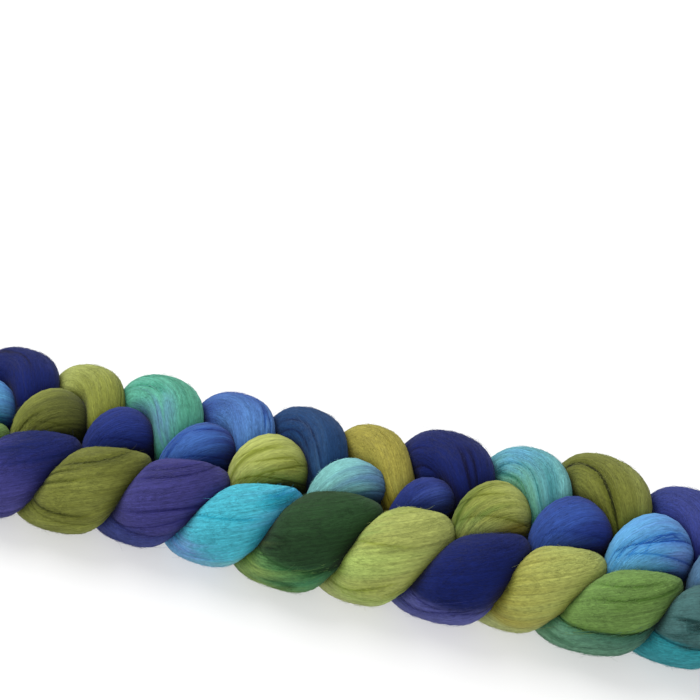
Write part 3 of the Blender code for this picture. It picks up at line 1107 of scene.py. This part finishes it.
def stretched_noise(tree, lay, around, along, detail, offset=0.0, bent=0.0):
    """Noise drawn out along the strand: few cells along, many round it."""
    mapping = {"Scale": (around, around, along), "Location": (offset, offset, offset)}
    mapping = new_node(tree, "Mapping", {"Vector": lay, **mapping})
    noise = {"Scale": 1.0, "Detail": detail, "Distortion": bent}
    noise = new_node(tree, "TexNoise", {"Vector": mapping.outputs["Vector"], **noise})
    return noise.outputs["Fac"]


def remapped(tree, value, low, high, to_low, to_high):
    """The value between low and high, eased over to_low to to_high."""
    ends = {"From Min": low, "From Max": high, "To Min": to_low, "To Max": to_high}
    inputs = {"Value": value, **ends}
    node = new_node(tree, "MapRange", inputs, interpolation_type="SMOOTHSTEP")
    return node.outputs["Result"]


def weighted_sum(tree, *parts):
    """The sum of several (socket, weight) pairs."""
    total = 0.0
    for socket, weight in parts:
        part = value_node(tree, "MULTIPLY", socket, weight)
        total = value_node(tree, "ADD", part, total)
    return total


def combed_fibres(tree, lay):
    """The fibre pattern of combed wool: its tone, and its height for the bump."""
    fine = stretched_noise(tree, lay, 30.0, 2.4, detail=3.0, bent=0.2)
    fuzz = stretched_noise(tree, lay, 24.0, 26.0, detail=2.0, offset=5.0, bent=0.8)
    coarse = stretched_noise(tree, lay, 7.0, 0.9, detail=2.0, offset=7.0)
    # Wisps: thin lines where a drawn-out pattern crosses its middle, here and there
    line = stretched_noise(tree, lay, 8.0, 1.3, detail=1.0, offset=3.0)
    off = value_node(tree, "ABSOLUTE", value_node(tree, "SUBTRACT", line, 0.5))
    thin = remapped(tree, off, 0.0, 0.010, 1.0, 0.0)
    place = stretched_noise(tree, lay, 4.0, 2.6, detail=1.0, offset=11.0)
    wisp = value_node(tree, "MULTIPLY", thin, remapped(tree, place, 0.50, 0.66, 0.0, 1.0))
    patterns = ((fine, 1.00), (fuzz, 1.00), (coarse, 0.35))
    tone = weighted_sum(tree, *patterns, (wisp, -0.16))
    # Noise is 0.5 on average, so this brings the tone to 1 on average
    average = 0.5 * sum(weight for _, weight in patterns)
    tone = value_node(tree, "ADD", tone, 1.0 - average)
    height = weighted_sum(tree, (fine, 0.7), (fuzz, 0.9), (coarse, 0.3), (wisp, -0.3))
    return tone, height


def wool_material():
    """Combed wool: dyed and streaked along its fibres, with painted shade where turns press
    together and along its creases.
    """
    matt = {"Roughness": 0.85, "Specular IOR Level": 0.12}
    sheen = {"Sheen Weight": 0.05, "Sheen Roughness": 0.5}
    material, shader = new_material("combed_wool", {**matt, **sheen})
    tree = material.node_tree
    tone, height = combed_fibres(tree, kept(tree, "lay"))
    # Painted shade: the dye is darkened where turns press together, softly round each crease, and
    # in a fine line along it
    shade = {"Vector": kept(tree, "shade")}
    press_shade, crease, crease_gap = new_node(tree, "SeparateXYZ", shade).outputs
    press_shade = remapped(tree, press_shade, 0.08, 0.36, 0.0, 0.56)
    crease_shade = value_node(tree, "MULTIPLY", crease, 0.30)
    wavering = value_node(tree, "SUBTRACT", tone, 1.0)
    wavering = weighted_sum(tree, (wavering, 0.25), (crease_gap, 1.0))
    gap = value_node(tree, "ABSOLUTE", wavering)
    line = remapped(tree, gap, 0.02, 0.20, 0.75, 0.0)
    line = value_node(tree, "MULTIPLY", line, crease)
    # All the painted shade, as a gamma that darkens the dye
    deep = value_node(tree, "MAXIMUM", press_shade, crease_shade)
    deep = value_node(tree, "ADD", value_node(tree, "ADD", deep, line), 1.0)
    dye = {"Color": kept(tree, "dye", "Color"), "Gamma": deep}
    dye = new_node(tree, "Gamma", dye).outputs["Color"]
    toned = {"Vector": dye, "Scale": tone}
    colour = new_node(tree, "VectorMath", toned, operation="SCALE").outputs["Vector"]
    bump = {"Strength": 0.5, "Distance": 0.0006, "Height": height}
    normal = new_node(tree, "Bump", bump).outputs["Normal"]
    fill_inputs(shader, {"Base Color": colour, "Normal": normal})
    return material


def loose_fibre_material():
    """A single fibre: its own dye, a little glossier than the combed mass."""
    gloss = {"Roughness": 0.6, "Specular IOR Level": 0.25}
    material, shader = new_material("loose_fibre", gloss)
    fill_inputs(shader, {"Base Color": kept(material.node_tree, "dye", "Color")})
    return material


def packing_shade_material():
    """Wool between the turns, coloured near black as painted shade, seen only through chinks."""
    material, shader = new_material("packed_wool", {"Roughness": 0.9})
    tree = material.node_tree
    place = new_node(tree, "TexCoord").outputs["Object"]
    noise = new_node(tree, "TexNoise", {"Vector": place, "Scale": 60.0})
    ramp = new_node(tree, "ValToRGB", {"Fac": noise.outputs["Fac"]})
    # Near black: painted shade for the wool deep between the turns
    ramp.color_ramp.elements[0].color = (0.010, 0.014, 0.035, 1)
    ramp.color_ramp.elements[1].color = (0.020, 0.035, 0.030, 1)
    fill_inputs(shader, {"Base Color": ramp.outputs["Color"]})
    return material


# ---- the stage ----

CAMERA_AZIMUTH = 17.3
CAMERA_ELEVATION = 41.1
CAMERA_DISTANCE = 34.35  # in stitches
CAMERA_LENS = 129.6
SENSOR = 36.0  # millimetres, as the lens is
CAMERA_SEES = 20.0  # metres
AIM = (-0.75, 2.78, 0.6)  # in stitches from the part's origin

WHITE = (1, 1, 1, 1)
PAPER = (0.44, 0.44, 0.44, 1)
FLOOR_SIZE = 4.0
PAPER_GLOW = (0.5, 1.8, 0.48, 0.72)  # two distances from the middle, its glow at each
WORLD_LIGHT, WORLD_SEEN = 0.8, 1.05  # how strongly it lights, and how bright it looks

# Columns: name, place, size, power
LIGHTS = (
    ("overhead_light", (-0.90, 0.60, 1.50), 1.6, 30.0),
    ("front_light", (0.3, -1.5, 1.3), 1.2, 5.0),
)


def add_camera(context, pitch):
    """A long lens that looks down on the braid from its near side."""
    data = bpy.data.cameras.new("camera")
    data.sensor_width = SENSOR
    data.lens = CAMERA_LENS
    data.clip_end = CAMERA_SEES
    camera = bpy.data.objects.new("camera", data)
    turn = Euler((math.radians(90 - CAMERA_ELEVATION), 0.0, math.radians(CAMERA_AZIMUTH)))
    back = turn.to_matrix() @ Vector((0.0, 0.0, CAMERA_DISTANCE))
    camera.rotation_euler = turn
    camera.location = (Vector(AIM) + back) * pitch
    context.scene.collection.objects.link(camera)
    context.scene.camera = camera


def add_floor():
    """Pale paper that glows more away from the braid, so that it fades to white."""
    paper = {"Base Color": PAPER, "Roughness": 0.9, "Specular IOR Level": 0.0}
    material, shader = new_material("pale_paper", paper)
    tree = material.node_tree
    place = new_node(tree, "TexCoord").outputs["Object"]
    away = new_node(tree, "VectorMath", {"Vector": place}, operation="LENGTH")
    glow = remapped(tree, away.outputs["Value"], *PAPER_GLOW)
    fill_inputs(shader, {"Emission Color": WHITE, "Emission Strength": glow})
    bm = bmesh.new()
    bmesh.ops.create_grid(bm, x_segments=2, y_segments=2, size=FLOOR_SIZE)
    floor = finished("floor", bm, material)


def add_area_light(context, name, place, size, power):
    """A round light that faces the middle of the floor."""
    data = bpy.data.lights.new(name, "AREA")
    data.shape = "DISK"
    data.size = size
    data.energy = power
    light = bpy.data.objects.new(name, data)
    light.location = place
    light.rotation_euler = (-Vector(place)).to_track_quat("-Z", "Y").to_euler()
    context.scene.collection.objects.link(light)


class BRAID_OT_stage(bpy.types.Operator):
    """Set the floor, the lights and the camera"""

    bl_idname = "braid.stage"
    bl_label = "Set the Stage"

    def execute(self, context):
        scene = context.scene
        scene.view_settings.view_transform = "Standard"
        world = bpy.data.worlds.new("studio")
        world.use_nodes = True
        tree = world.node_tree
        seen = new_node(tree, "LightPath").outputs["Is Camera Ray"]
        strength = remapped(tree, seen, 0.0, 1.0, WORLD_LIGHT, WORLD_SEEN)
        fill_inputs(tree.nodes["Background"], {"Color": WHITE, "Strength": strength})
        scene.world = world
        add_floor()
        for light in LIGHTS:
            add_area_light(context, *light)
        add_camera(context, scene.braid_sizes.pitch)
        return {"FINISHED"}


class BRAID_PT_panel(bpy.types.Panel):
    """The braid's steps and settings"""

    bl_label = "Wool Braid"
    bl_idname = "BRAID_PT_panel"
    bl_space_type = "VIEW_3D"
    bl_region_type = "UI"
    bl_category = "Wool Braid"

    def draw(self, context):
        layout = self.layout
        for operator in OPERATORS:
            layout.operator(operator.bl_idname)
        for name in BraidSizes.__annotations__:
            layout.prop(context.scene.braid_sizes, name)
        for name in DYES:
            layout.prop(context.scene.wool_dyes, name)


OPERATORS = (
    BRAID_OT_work_strand,
    BRAID_OT_lay_fibres,
    BRAID_OT_pack_middle,
    BRAID_OT_stage,
)
CLASSES = (WoolDyes, BraidSizes, *OPERATORS, BRAID_PT_panel)


def register():
    add_settings()
    for cls in CLASSES:
        bpy.utils.register_class(cls)
    bpy.types.Scene.braid_sizes = PointerProperty(type=BraidSizes)
    bpy.types.Scene.wool_dyes = PointerProperty(type=WoolDyes)


def unregister():
    del bpy.types.Scene.wool_dyes
    del bpy.types.Scene.braid_sizes
    for cls in reversed(CLASSES):
        bpy.utils.unregister_class(cls)


def main():
    register()
    bpy.ops.braid.work_strand()
    bpy.ops.braid.lay_fibres()
    bpy.ops.braid.pack_middle()
    bpy.ops.braid.stage()


if __name__ == "__main__":
    main()
